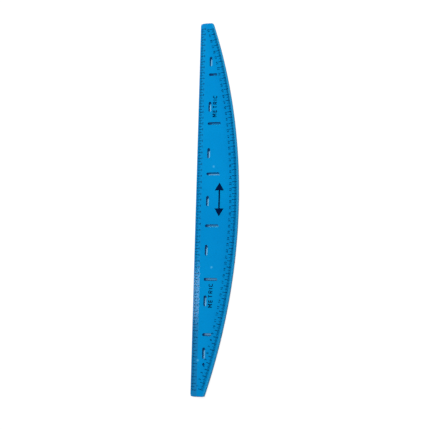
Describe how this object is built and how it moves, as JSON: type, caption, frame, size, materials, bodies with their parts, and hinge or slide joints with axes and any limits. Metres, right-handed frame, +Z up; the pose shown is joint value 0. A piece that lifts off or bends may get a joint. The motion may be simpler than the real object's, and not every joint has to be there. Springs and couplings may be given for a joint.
{
  "type": "curve ruler",
  "caption": "Flat translucent blue plastic curve ruler for pattern drafting, with a straight and a gently curved graduated edge, marking slots and a hang hole.",
  "frame": {"origin": "middle of the blade's underside, under the centre of its outline's box", "axes": "+Y along the blade from the 0 end to the 60 end, -X towards the straight edge, +X towards the curved edge, +Z up out of the printed face"},
  "size_m": [0.0706, 0.62, 0.0031],
  "materials": {
    "blue_plastic": "gloss, translucent",
    "printing_ink": "matte printed ink"
  },
  "bodies": {
    "root": {"blade": "blue_plastic", "straight_centimetre_marks": "printing_ink", "straight_half_centimetre_marks": "printing_ink", "straight_numbers": "printing_ink", "curved_centimetre_marks": "printing_ink", "curved_half_centimetre_marks": "printing_ink", "curved_numbers": "printing_ink", "upper_unit_label": "printing_ink", "lower_unit_label": "printing_ink", "grain_arrow": "printing_ink"}
  },
  "joints": []
}
